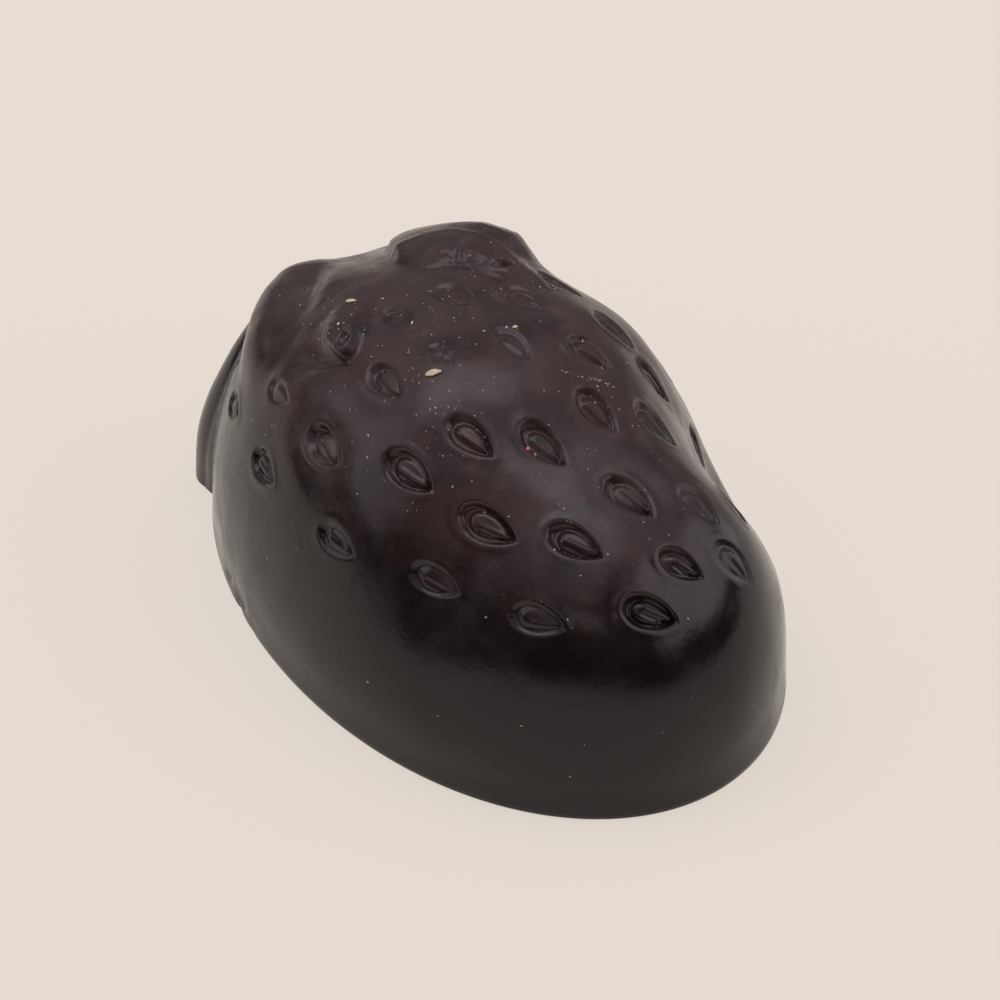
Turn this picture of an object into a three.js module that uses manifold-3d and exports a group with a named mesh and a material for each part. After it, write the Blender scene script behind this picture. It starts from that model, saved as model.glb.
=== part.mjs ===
// A moulded dark chocolate bonbon shaped like half a strawberry lying on its flat side.
// Millimetres, +Z up. The berry's point looks towards -Y, its leaves towards +Y, and the
// origin is the middle of the flat underside's bounding box.
import * as THREE from 'three';
import { mergeVertices } from 'three/addons/utils/BufferGeometryUtils.js';
import Module from 'manifold-3d';

// ---- berry ----
const berryLength = 40.0;
const berryWidth = 26.2;
const berryHeight = 18.1;
const calyxNarrowing = 0.05; // the plan narrows by this share towards the leaves
const wallHeight = 2.3;
const wallDraft = THREE.MathUtils.degToRad(4.0);
const crestY = -0.7; // where the back of the berry is highest
const tipRound = [1.9, 1.95]; // side profile from the crest down to the point
const calyxRound = [1.95, 2.2]; // side profile from the crest down to the leaves
const flankRound = [3.0, 1.66]; // cross section from the crest down to the wall
const leftSoftening = { amount: 0.7, from: -10, full: 0 }; // its left side is rounder at the leaves
const waistY = -8.8; // the flanks pinch in a little before the blunt point
const waistSpan = 4.7;
const waistPinch = { left: 1.1, right: 2.7 };
const pinchShape = [3, 1.4]; // how the pinch comes in over the flank and goes out at the wall
const waistDip = 0.09;

// ---- seeds ----
const seedLength = 3.4;
const seedWidth = 2.3;
const seedDepth = 0.4;
const seedPoint = 0.8; // higher is a longer, slimmer point
const seedFloor = 0.78; // floor of a seed's hollow, as a share of its outline
const seedFlare = 1.12; // the hollow's outline where its cutter leaves the berry
const seedClear = 0.9; // how far the cutter stands out of the berry
// a pip from its foot to its top: share of the seed's outline, then height
const pipProfile = [[0.68, -1], [0.64, -0.1], [0.24, 0.08]];
const dimpleRadius = 2.9;
const dimpleDepth = 0.24;
// Rows of seeds from the berry's point to the leaves. Each seed is [across, along, heading],
// and its heading turns from the berry's length towards the right, in degrees.
const seedRows = [
  [[-2.0, -16.3, 36], [0.8, -15.3, 29], [3.9, -15.9, 33]],
  [[-6.9, -13.0, 28], [-3.5, -12.0, 23], [0.5, -11.4, 17], [3.7, -13.1, 27], [6.6, -12.4, 30]],
  [[-9.1, -7.5, 14], [-6.3, -8.3, 14], [-1.6, -7.1, 12], [2.1, -6.8, 10], [5.0, -8.1, 31], [9.8, -6.2, 45]],
  [[-7.7, -3.5, 0], [-4.6, -4.8, 6], [4.0, -3.9, 25], [7.6, -4.9, 48]],
  [[-11.0, -1.6, 0], [-2.8, 0, 5], [0.5, -1.7, 5], [7.0, -2.3, 38], [10.6, -1.6, 20]],
  [[-9.1, 2.2, -16], [-5.6, 1.2, -9], [3.5, 1.1, 10], [6.6, 1.9, 22], [9.3, 2.6, 25]],
  [[-2.5, 4.2, 4], [0.7, 3.7, 1]], [[-10.4, 6.1, -9], [-8.1, 7.6, 5], [10.3, 6.0, 10]],
  [[-8.4, 12.0, 0]],
];

// ---- leaves ----
const calyx = [0.3, 16.4]; // all leaves start here, high on the back
const leafBury = 1.2; // a leaf on the berry's back reaches this far into it
const shoulderBury = 2.2; // the leaves that go over its shoulder reach further
const leafNeck = 0.2; // share of half a wave at which a leaf's width starts
const leafReach = 0.78; // and how much more of it the leaf takes up
const leafFullness = 0.8;
const leafSwell = 0.4; // a leaf reaches its full rise at this share of its length
const leafDroop = 0.6; // its point is this much lower
// A leaf's line is its middle, seen from above. It narrows to a point and stands out by its
// rise: its root, its right edge and its left edge keep these shares of the rise.
const backLeaves = [
  {
    line: [calyx, [0.9, 13.2], [-2.1, 9.3], [-5.7, 4.7]],
    half: 3.3,
    rise: 0.55,
    root: 0.9,
    edges: [0.1, 0.8],
  },
  {
    line: [[1.4, 12.6], [3.6, 10.9], [5.7, 9.2], [6.4, 7.2], [6.0, 5.0], [4.8, 1.8]],
    half: 1.7,
    rise: 1.85,
    root: 0.3,
    edges: [0.1, 0.8],
  },
];
const shoulderLeaves = [
  {
    line: [calyx, [-1.9, 15.1], [-3.9, 14.1], [-6.2, 12.0]],
    half: 3.0,
    rise: 1.1,
    root: 0.1,
    edges: [0.1, 0.1],
  },
  {
    line: [calyx, [3.4, 14.8], [6.8, 12.6], [9.4, 9.2]],
    half: 2.4,
    rise: 0.9,
    root: 0.1,
    edges: [0.1, 0.1],
  },
];
// Two more leaves hang down behind, one on each side, and the flat underside cuts them off.
// Their faces turn by degrees to the direction given.
const hangingLeaf = {
  drop: [[3.4, 16.4, 9.4], [5.7, 16.3, 7.0], [7.0, 16.7, 3.8], [7.4, 17.1, 0], [7.8, 17.4, -6]],
  face: [0.96, 0.15, 0.23],
  half: 2.5,
  rise: 0.7,
  bury: 3.4,
};
// Hollows beside the leaves: across, along, radius and depth.
const hollows = [[2.6, 8.2, 2.3, 0.6], [-6.3, 6.0, 1.6, 0.4]];

// ---- mesh fineness ----
const sides = 76;
const wallSteps = 2;
const mergeDistance = 1e-4;
const slopeStep = 0.4; // the berry's slope is taken over this distance to either side
const crownSteps = 19;
const seedSides = 9;
const leafSteps = 9;
const leafAcross = [-1, -0.55, 0, 0.55, 1];
const leafUnder = [1, 0.4, -0.4, -1];

const { smoothstep } = THREE.MathUtils;
const halfLength = berryLength / 2;
const halfWidth = berryWidth / 2;
const crownRise = berryHeight - wallHeight;

// The flat underside's outline.
function planPoint(angle) {
  const along = Math.sin(angle);
  return new THREE.Vector2(halfWidth * Math.cos(angle) * (1 - calyxNarrowing * along), halfLength * along);
}

// Half the outline's width at a place along the berry.
function planHalfWidth(y) {
  return planPoint(Math.asin(THREE.MathUtils.clamp(y / halfLength, -1, 1))).x;
}

function superCurve(t, [inner, outer]) {
  return Math.max(0, 1 - Math.min(t, 1) ** inner) ** (1 / outer);
}

function waist(y) {
  return Math.exp(-(((y - waistY) / waistSpan) ** 2));
}

// Side profile: 1 at the crest, 0 at the top of the wall at either end.
function spine(y) {
  const towardsTip = y < crestY;
  const reach = towardsTip ? halfLength + crestY : halfLength - crestY;
  const curve = superCurve(Math.abs(y - crestY) / reach, towardsTip ? tipRound : calyxRound);
  return Math.max(0, curve - waistDip * waist(y));
}

// Height of the smooth berry above the table.
function crownHeight(x, y) {
  const half = planHalfWidth(y);
  const across = half > 0 ? Math.min(Math.abs(x) / half, 1) : 0;
  const [fromCrest, toWall] = pinchShape;
  const share = x < 0 ? waistPinch.left : waistPinch.right;
  const pinch = share * waist(y) * across ** fromCrest * (1 - across) ** toWall;
  const pinched = Math.min(1, across + pinch);
  const softened =
    x < 0 ? leftSoftening.amount * smoothstep(y, leftSoftening.from, leftSoftening.full) : 0;
  const [inner, outer] = flankRound;
  return wallHeight + crownRise * spine(y) * superCurve(pinched, [inner - softened, outer]);
}

const seeds = seedRows.flat().map(([x, y, heading]) => {
  return { x, y, heading: THREE.MathUtils.degToRad(heading) };
});
const seedBowls = seeds.map(({ x, y }) => [x, y, dimpleRadius, dimpleDepth]);

// Each seed lies in a wide shallow dimple, and there are hollows beside the leaves.
function dimple(x, y) {
  const bowl = ([bowlX, bowlY, radius, depth]) =>
    depth * Math.max(0, 1 - (Math.hypot(x - bowlX, y - bowlY) / radius) ** 2) ** 2;
  return Math.max(...[...seedBowls, ...hollows].map(bowl));
}

function berryPoint(x, y, lift = 0) {
  return new THREE.Vector3(x, y, crownHeight(x, y) + lift);
}

// Outward direction, taken from the ellipsoid that the berry is close to.
function outward(point) {
  const squared = new THREE.Vector3(halfWidth ** 2, halfLength ** 2, berryHeight ** 2);
  return point.clone().divide(squared).normalize();
}

function surfaceNormal(x, y) {
  const slopeX = (crownHeight(x + slopeStep, y) - crownHeight(x - slopeStep, y)) / (2 * slopeStep);
  const slopeY = (crownHeight(x, y + slopeStep) - crownHeight(x, y - slopeStep)) / (2 * slopeStep);
  return new THREE.Vector3(-slopeX, -slopeY, 1).normalize();
}

// Closed skin over a stack of rings with the same number of points, from first to last.
function skin(rings) {
  const count = rings[0].length;
  const middles = [rings[0], rings[rings.length - 1]].map((ring) =>
    ring.reduce((sum, point) => sum.add(point), new THREE.Vector3()).divideScalar(count));
  const points = [...rings.flat(), ...middles];
  const firstMiddle = points.length - 2;
  const lastMiddle = points.length - 1;
  const lastRing = (rings.length - 1) * count;
  const index = [];
  for (let i = 0; i < count; i += 1) {
    const next = (i + 1) % count;
    index.push(firstMiddle, next, i);
    index.push(lastMiddle, lastRing + i, lastRing + next);
    for (let ring = 0; ring < lastRing; ring += count) {
      index.push(ring + i, ring + next, ring + count + next);
      index.push(ring + i, ring + count + next, ring + count + i);
    }
  }
  const geometry = new THREE.BufferGeometry().setFromPoints(points);
  geometry.setIndex(index);
  return geometry;
}

const wasm = await Module();
wasm.setup();

function solid(geometry) {
  const bare = geometry.clone();
  bare.deleteAttribute('normal');
  bare.deleteAttribute('uv');
  const merged = mergeVertices(bare, mergeDistance);
  return new wasm.Manifold(new wasm.Mesh({
    numProp: 3,
    vertProperties: Float32Array.from(merged.attributes.position.array),
    triVerts: Uint32Array.from(merged.index.array),
  }));
}

// The outline at a scale of its own, lifted to the heights that heightAt gives.
function planRing(scale, shrink, heightAt) {
  return Array.from({ length: sides }, (_, i) => {
    const { x, y } = planPoint((2 * Math.PI * i) / sides).multiplyScalar(scale);
    return new THREE.Vector3(x * shrink, y * shrink, heightAt(x, y));
  });
}

function berry() {
  const draftShrink = (z) => 1 - (z * Math.tan(wallDraft)) / halfWidth;
  const rings = [];
  for (let i = 0; i <= wallSteps; i += 1) {
    const z = (wallHeight * i) / wallSteps;
    rings.push(planRing(1, draftShrink(z), () => z));
  }
  for (let i = 1; i < crownSteps; i += 1) {
    const scale = Math.cos((Math.PI / 2) * (i / crownSteps));
    rings.push(planRing(scale, draftShrink(wallHeight), (x, y) => crownHeight(x, y) - dimple(x, y)));
  }
  return solid(skin(rings));
}

// A teardrop outline, round behind and pointed in front, drawn on the berry at a seed.
function seedRing(seed, scale, height) {
  const centre = berryPoint(seed.x, seed.y, -dimpleDepth);
  const up = surfaceNormal(seed.x, seed.y);
  const aim = new THREE.Vector3(Math.sin(seed.heading), -Math.cos(seed.heading), 0);
  const forward = aim.addScaledVector(up, -aim.dot(up)).normalize();
  const sideways = new THREE.Vector3().crossVectors(up, forward);
  return Array.from({ length: seedSides }, (_, i) => {
    const angle = (2 * Math.PI * i) / seedSides;
    const along = (seedLength / 2) * Math.cos(angle) * scale;
    const across = (seedWidth / 2) * Math.sin(angle) * Math.sin(angle / 2) ** seedPoint * scale;
    return centre.clone()
      .addScaledVector(forward, along)
      .addScaledVector(sideways, across)
      .addScaledVector(up, height);
  });
}

function seedHollow(seed) {
  return solid(skin([seedRing(seed, seedFloor, -seedDepth), seedRing(seed, seedFlare, seedClear)]));
}

function seedPip(seed) {
  return solid(skin(pipProfile.map(([scale, height]) => seedRing(seed, scale, height))));
}

// Height over a leaf's width, from its right edge (-1) over the middle (0) to its left edge (1).
function vault(u, [right, left]) {
  return 1 + ((left - right) / 2) * u + ((left + right) / 2 - 1) * u * u;
}

// Rings of a leaf from its root to its point; place(t, side, lift) puts one point of them.
function leafSolid({ half, rise, root = 1, edges = [0.6, 0.6], bury = leafBury }, place) {
  const rings = [];
  for (let i = 0; i <= leafSteps; i += 1) {
    const t = i / leafSteps;
    const width = half * Math.sin(Math.PI * (leafNeck + leafReach * t)) ** leafFullness;
    const swell = root + (1 - root) * Math.sin((Math.PI / 2) * Math.min(1, t / leafSwell));
    const height = rise * swell * (1 - leafDroop * t ** 3);
    const top = leafAcross.map((u) => place(t, u * width, height * vault(u, edges)));
    const underside = leafUnder.map((u) => place(t, u * width, -bury));
    rings.push([...top, ...underside]);
  }
  return solid(skin(rings));
}

// A leaf that lies on the berry's back.
function lyingLeaf(leaf) {
  const flatLine = leaf.line.map(([x, y]) => new THREE.Vector3(x, y, 0));
  const curve = new THREE.CatmullRomCurve3(flatLine, false, 'centripetal');
  return leafSolid(leaf, (t, side, lift) => {
    const along = curve.getTangent(t);
    const middle = curve.getPoint(t);
    return berryPoint(middle.x + along.y * side, middle.y - along.x * side, lift);
  });
}

// A leaf along a curve in space; faceAt(t, middle) is the way that its face looks there.
function curvedLeaf(leaf, points, faceAt) {
  const curve = new THREE.CatmullRomCurve3(points, false, 'centripetal');
  return leafSolid(leaf, (t, side, lift) => {
    const middle = curve.getPoint(t);
    const up = faceAt(t, middle);
    const across = new THREE.Vector3().crossVectors(curve.getTangent(t), up).normalize();
    return middle.addScaledVector(across, side).addScaledVector(up, lift);
  });
}

// A leaf that goes over the berry's shoulder, where the back turns down into the flank.
function shoulderLeaf(leaf) {
  const points = leaf.line.map(([x, y]) => berryPoint(x, y));
  return curvedLeaf({ ...leaf, bury: shoulderBury }, points, (t, middle) => outward(middle));
}

// A leaf that hangs down the flank on one side (-1 left, 1 right).
function fallingLeaf(leaf, flank) {
  const points = [berryPoint(...calyx), ...leaf.drop.map(([x, y, z]) => new THREE.Vector3(flank * x, y, z))];
  const face = new THREE.Vector3(flank * leaf.face[0], leaf.face[1], leaf.face[2]);
  return curvedLeaf(leaf, points, (t, middle) => outward(middle).lerp(face, t).normalize());
}

// ---- the bonbon: one solid of berry, seeds and leaves, flat underneath ----
let body = berry();
for (const seed of seeds) body = body.subtract(seedHollow(seed));
for (const seed of seeds) body = body.add(seedPip(seed));
for (const leaf of backLeaves) body = body.add(lyingLeaf(leaf));
for (const leaf of shoulderLeaves) body = body.add(shoulderLeaf(leaf));
for (const flank of [-1, 1]) body = body.add(fallingLeaf(hangingLeaf, flank));
const table = new THREE.BoxGeometry(2 * berryWidth, 2 * berryLength, berryHeight);
body = body.subtract(solid(table.translate(0, 0, -berryHeight / 2)));

const { vertProperties, triVerts } = body.getMesh();
const geometry = new THREE.BufferGeometry();
geometry.setAttribute('position', new THREE.BufferAttribute(vertProperties, 3));
geometry.setIndex(new THREE.BufferAttribute(triVerts, 1));
geometry.computeVertexNormals();
const darkChocolate = new THREE.MeshStandardMaterial({ color: 0x2f2725, roughness: 0.35, metalness: 0 });
const bonbon = new THREE.Mesh(geometry, darkChocolate);
bonbon.name = 'bonbon';

const sweet = new THREE.Group();
sweet.add(bonbon);

export default sweet;
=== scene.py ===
import math
import random

import bpy
import numpy as np
from mathutils import Matrix, Vector, kdtree, noise


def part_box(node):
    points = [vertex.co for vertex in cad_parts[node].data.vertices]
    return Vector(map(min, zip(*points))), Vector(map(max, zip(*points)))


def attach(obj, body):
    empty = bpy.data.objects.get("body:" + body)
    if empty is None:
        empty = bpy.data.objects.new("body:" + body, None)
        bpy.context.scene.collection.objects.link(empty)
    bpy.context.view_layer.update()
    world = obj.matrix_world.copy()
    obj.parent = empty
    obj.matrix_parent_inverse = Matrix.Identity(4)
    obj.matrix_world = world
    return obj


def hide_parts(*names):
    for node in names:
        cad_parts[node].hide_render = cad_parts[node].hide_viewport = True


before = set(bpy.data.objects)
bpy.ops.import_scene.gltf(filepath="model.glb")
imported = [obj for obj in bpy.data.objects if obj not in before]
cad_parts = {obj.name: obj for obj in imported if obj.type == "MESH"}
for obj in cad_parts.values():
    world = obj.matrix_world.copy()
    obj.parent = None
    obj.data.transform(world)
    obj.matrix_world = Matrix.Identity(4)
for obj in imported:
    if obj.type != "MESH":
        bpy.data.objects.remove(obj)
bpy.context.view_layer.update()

# the moulded body, in millimetres: the same named sizes as the solid it replaces
berry = {
    "length": 40.0,
    "width": 26.2,
    "height": 18.1,
    "narrowing": 0.05,        # the outline narrows by this share towards the leaves
    "wall": 2.3,              # height of the straight wall at the table
    "draft": 4.0,             # degrees
    "crest": -0.7,            # where the back is highest
    "tipRound": (1.9, 1.95),
    "calyxRound": (1.95, 2.2),
    "flankRound": (3.0, 1.66),
    "leftSoftening": 0.7,     # the left flank is rounder towards the leaves
    "softeningFrom": -10.0,
    "softeningFull": 0.0,
    "waistAt": -8.8,
    "waistSpan": 4.7,
    "waistPinch": (1.1, 2.7),  # left flank, right flank
    "pinchShape": (3, 1.4),
    "waistDip": 0.09,
    "cuts": 75,               # cuts of the starting cube, an odd number
    "wallSteps": 8,
    "baseEdge": 0.12,         # worn rounding where the wall meets the table
}

nodeLow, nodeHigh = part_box("bonbon")
mm = (nodeHigh[1] - nodeLow[1]) / berry["length"]
halfLength = berry["length"] / 2
halfWidth = berry["width"] / 2
crownRise = berry["height"] - berry["wall"]


def selectOnly(piece):
    bpy.ops.object.select_all(action="DESELECT")
    piece.select_set(True)
    bpy.context.view_layer.objects.active = piece


# the points of a mesh in millimetres
def readPoints(piece):
    points = np.empty(len(piece.data.vertices) * 3)
    piece.data.vertices.foreach_get("co", points)
    return points.reshape(-1, 3) / mm


def writePoints(piece, points):
    piece.data.vertices.foreach_set("co", (points * mm).ravel())
    piece.data.update()


def unit(vectors):
    return vectors / np.linalg.norm(vectors, axis=-1, keepdims=True)


# falls from 1 at t = 0 to 0 at t = 1: flatter at the start, steeper at the end as they grow
def superCurve(t, shape):
    inner, outer = shape
    return np.maximum(0, 1 - np.minimum(t, 1) ** inner) ** (1 / outer)


def smoothStep(t):
    t = np.clip(t, 0, 1)
    return t * t * (3 - 2 * t)


# climbs smoothly from 0 at the start to 1 a span further on
def climb(t, start, span):
    return smoothStep((t - start) / span)


def bell(t):
    return np.exp(-(t ** 2))


def waist(y):
    return bell((y - berry["waistAt"]) / berry["waistSpan"])


def planHalfWidth(y):
    along = np.clip(y / halfLength, -1, 1)
    return halfWidth * np.sqrt(1 - along ** 2) * (1 - berry["narrowing"] * along)


def spine(y):
    crest = berry["crest"]
    toTip = superCurve(np.abs(y - crest) / (halfLength + crest), berry["tipRound"])
    toCalyx = superCurve(np.abs(y - crest) / (halfLength - crest), berry["calyxRound"])
    return np.maximum(0, np.where(y < crest, toTip, toCalyx) - berry["waistDip"] * waist(y))


# height of the smooth berry over its outline
def crownHeight(x, y):
    half = np.maximum(planHalfWidth(y), 1e-9)
    across = np.minimum(np.abs(x) / half, 1)
    fromCrest, toWall = berry["pinchShape"]
    share = np.where(x < 0, berry["waistPinch"][0], berry["waistPinch"][1])
    pinch = share * waist(y) * across ** fromCrest * (1 - across) ** toWall
    pinched = np.minimum(1, across + pinch)
    fromCrest, toWall = berry["flankRound"]
    softening = climb(y, berry["softeningFrom"], berry["softeningFull"] - berry["softeningFrom"])
    fromCrest = fromCrest - np.where(x < 0, berry["leftSoftening"], 0) * softening
    return berry["wall"] + crownRise * spine(y) * superCurve(pinched, (fromCrest, toWall))


# the wall leans in by its draft and the lean dies out over the crown
def leanIn(z):
    lean = berry["wall"] * np.tanh(z / berry["wall"])
    return 1 - lean * math.tan(math.radians(berry["draft"])) / halfWidth


# sets points of the crown on the true surface, keeping where they are seen from above
def settle(points):
    crown = points[:, 2] > berry["wall"] + 1e-4
    plan = points[crown, :2] / leanIn(points[crown, 2])[:, None]
    z = crownHeight(plan[:, 0], plan[:, 1])
    points[crown, :2] = plan * leanIn(z)[:, None]
    points[crown, 2] = z
    return points


def addBody():
    bpy.ops.object.select_all(action="DESELECT")
    bpy.ops.mesh.primitive_cube_add(size=2)
    body = bpy.context.object
    body.name = body.data.name = "chocolateBody"
    bpy.ops.object.mode_set(mode="EDIT")
    bpy.ops.mesh.subdivide(number_cuts=berry["cuts"])
    bpy.ops.transform.tosphere(value=1)
    bpy.ops.mesh.select_all(action="SELECT")
    bpy.ops.mesh.bisect(plane_co=(0, 0, 0), plane_no=(0, 0, 1), clear_inner=True)
    bpy.ops.object.mode_set(mode="OBJECT")

    # the half ball is drawn out to the berry's outline and raised to its profile
    ball = readPoints(body) * mm
    ball /= np.maximum(np.linalg.norm(ball, axis=1), 1e-9)[:, None]
    x = ball[:, 0] * halfWidth * (1 - berry["narrowing"] * ball[:, 1])
    y = ball[:, 1] * halfLength
    z = np.where(ball[:, 2] < 1e-5, berry["wall"], crownHeight(x, y))
    lean = leanIn(z)
    writePoints(body, np.stack([x * lean, y * lean, z], axis=1))

    # the wall is drawn down from the open rim, then closed by the flat underside
    bpy.ops.object.mode_set(mode="EDIT")
    bpy.ops.mesh.select_mode(type="VERT")
    bpy.ops.mesh.select_all(action="DESELECT")
    bpy.ops.mesh.select_non_manifold(extend=False)
    edge = berry["baseEdge"]
    levels = list(np.linspace(berry["wall"], edge, berry["wallSteps"] + 1)[1:]) + [edge * 0.3, 0.0]
    level = berry["wall"]
    scale = leanIn(berry["wall"])
    for nextLevel in levels:
        inset = edge * (1 - math.sqrt(max(0, 1 - (1 - min(nextLevel / edge, 1)) ** 2)))
        nextScale = leanIn(nextLevel) - inset / halfWidth
        drop = (0, 0, (nextLevel - level) * mm)
        bpy.ops.mesh.extrude_region_move(TRANSFORM_OT_translate={"value": drop})
        shrink = nextScale / scale
        bpy.ops.transform.resize(value=(shrink, shrink, 1), center_override=(0, 0, 0))
        level, scale = nextLevel, nextScale
    bpy.ops.mesh.edge_face_add()
    bpy.ops.mesh.select_all(action="SELECT")
    bpy.ops.mesh.normals_make_consistent(inside=False)
    bpy.ops.object.mode_set(mode="OBJECT")
    return body


# picks faces of the crown by their middles, and cuts each of them in four
def refine(piece, wanted):
    selectOnly(piece)
    faces = piece.data.polygons
    middles = np.empty(len(faces) * 3)
    faces.foreach_get("center", middles)
    middles = middles.reshape(-1, 3) / mm
    bpy.ops.object.mode_set(mode="EDIT")
    bpy.ops.mesh.select_mode(type="FACE")
    bpy.ops.mesh.select_all(action="DESELECT")
    bpy.ops.object.mode_set(mode="OBJECT")
    faces.foreach_set("select", wanted(middles) & (middles[:, 2] > berry["wall"]))
    bpy.ops.object.mode_set(mode="EDIT")
    bpy.ops.mesh.subdivide(number_cuts=1)
    bpy.ops.object.mode_set(mode="OBJECT")
    writePoints(piece, settle(readPoints(piece)))


# paints each height as a vertex weight and moves the surface along its normals by it
def pushSurface(piece, name, heights):
    selectOnly(piece)
    for sign, suffix in ((-1, "In"), (1, "Out")):
        amount = np.maximum(sign * heights, 0)
        most = amount.max()
        if most < 1e-5:
            continue
        group = piece.vertex_groups.new(name=name + suffix)
        for index in np.flatnonzero(amount > 1e-5):
            group.add([int(index)], float(amount[index] / most), "REPLACE")
        modifier = piece.modifiers.new(name + suffix, "DISPLACE")
        modifier.mid_level = 0
        modifier.strength = float(sign * most * mm)
        modifier.vertex_group = group.name
        bpy.ops.object.modifier_apply(modifier=modifier.name)
    piece.vertex_groups.clear()
    print("pushed", name, "by up to", round(float(np.abs(heights).max()), 2), "mm")


# the way the smooth berry faces, its slopes taken over a step each way
def surfaceNormal(x, y, step=0.4):
    slopeX = (crownHeight(x + step, y) - crownHeight(x - step, y)) / (2 * step)
    slopeY = (crownHeight(x, y + step) - crownHeight(x, y - step)) / (2 * step)
    return unit(np.array([-slopeX, -slopeY, 1.0]))


# the seeds are teardrop pits with a raised pip, pointing to the berry's tip
seeds = {
    "length": 3.25,
    "width": 2.15,
    "point": 0.58,           # higher is a longer, slimmer point
    "dish": 0.22,            # depth of the wide shallow dish around each seed
    "dishReach": 2.1,
    "dishLong": 0.85,        # under 1 draws the dish out along the seed
    "dishFloor": 1.3,        # over 1 flattens the dish's floor
    "dishLeast": 0.25,       # share of the dish that stays low on the flanks
    "dishFrom": 10.0,        # the dishes come in over these heights on the berry
    "dishFull": 13.5,
    "lip": 0.055,
    "lipOut": 0.18,          # how far outside the outline the lip stands
    "lipWidth": 0.22,
    "lipEven": (0.55, 0.45),  # its share all round, and its share that leans to one side
    "depth": 0.32,
    "wall": (0.17, 0.42),    # width of the pit's wall at the point and at the round end
    "pip": 0.25,             # height of the pip over the pit's floor
    "pipSize": 0.73,
    "pipShift": 0.2,
    "pipDrift": 0.09,
    "pipFoot": 0.05,
    "pipRound": 0.42,
    "fold": (0.02, 0.15),    # the folds come in over this distance inside the pip
    "foldStart": (0.2, 0.35),
    "foldBend": (-0.4, 0.3),
    "uneven": 0.25,          # how much the folds differ from seed to seed
    "ridge": 0.08,           # a fold runs along the pip to its point
    "ridgeWidth": 0.13,
    "ridgeVaries": (0.6, 1.2),
    "groove": 0.09,          # and a groove beside it
    "grooveWidth": 0.11,
    "grooveVaries": (0.6, 1.3),
    "grooveAt": -0.26,
    "grooveDrift": 0.08,
    # each seed: across, along, heading in degrees, share of full size, how deep it is struck
    "places": [
        (-2.0, -16.3, 36, 1.0, 1.25), (0.8, -15.3, 29, 0.85, 1), (3.9, -15.9, 33, 1.0, 0.35),
        (-6.9, -13.0, 28, 0.95, 0.6), (-3.5, -12.0, 23, 1.0, 1.05), (0.5, -11.4, 17, 0.97, 0.9),
        (3.7, -13.1, 27, 0.9, 0.45), (6.6, -12.4, 30, 0.85, 0.9),
        (-9.1, -7.5, 14, 0.95, 0.6), (-6.3, -8.3, 14, 1.08, 1.15), (-1.6, -7.1, 12, 0.95, 0.95),
        (2.1, -6.8, 10, 0.95, 0.8), (5.0, -8.1, 31, 0.95, 0.8), (9.8, -6.2, 45, 0.8, 0.9),
        (-7.7, -3.5, 0, 1.05, 1.1), (-4.6, -4.8, 6, 0.98, 0.95), (4.0, -3.9, 25, 0.9, 0.85),
        (7.6, -4.9, 48, 1.0, 1), (-11.0, -1.6, 0, 0.9, 0.55), (-2.8, 0, 5, 0.6, 0.3),
        (0.5, -1.7, 5, 0.85, 0.45), (7.0, -2.3, 38, 0.9, 1), (10.6, -1.6, 20, 0.95, 0.9),
        (-9.1, 2.2, -16, 1.0, 1.05), (-5.6, 1.2, -9, 0.9, 0.85), (3.5, 1.1, 10, 0.92, 0.6),
        (6.6, 1.9, 22, 0.9, 0.9), (9.3, 2.6, 25, 0.9, 0.9), (-2.5, 4.2, 4, 0.84, 0.8),
        (0.7, 3.7, 1, 0.95, 0.6), (-10.4, 6.1, -9, 0.95, 0.9), (-8.1, 7.6, 5, 0.8, 0.25),
        (10.3, 6.0, 10, 0.9, 0.9), (-8.4, 12.0, 0, 0.85, 0.7),
    ],
}


# a seed's middle on the berry, the way it points and the way across it
def seedFrame(x, y, heading):
    centre = np.array([x, y, crownHeight(x, y)])
    normal = surfaceNormal(x, y)
    aim = np.array([math.sin(math.radians(heading)), -math.cos(math.radians(heading)), 0])
    forward = unit(aim - normal * aim.dot(normal))
    return centre, forward, np.cross(normal, forward)


# distance from a teardrop outline, negative inside
def teardropDistance(u, v, length, width):
    angle = np.linspace(0, 2 * math.pi, 121)[:-1]
    outlineU = length / 2 * np.cos(angle)
    outlineV = width / 2 * np.sin(angle) * np.sin(angle / 2) ** seeds["point"]
    distance = np.sqrt((u[:, None] - outlineU) ** 2 + (v[:, None] - outlineV) ** 2).min(axis=1)
    bearing = np.arctan2(outlineV, outlineU)
    order = np.argsort(bearing)
    radius = np.hypot(outlineU, outlineV)[order]
    limit = np.interp(np.arctan2(v, u), bearing[order], radius, period=2 * math.pi)
    return np.where(np.hypot(u, v) < limit, -distance, distance)


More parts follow.
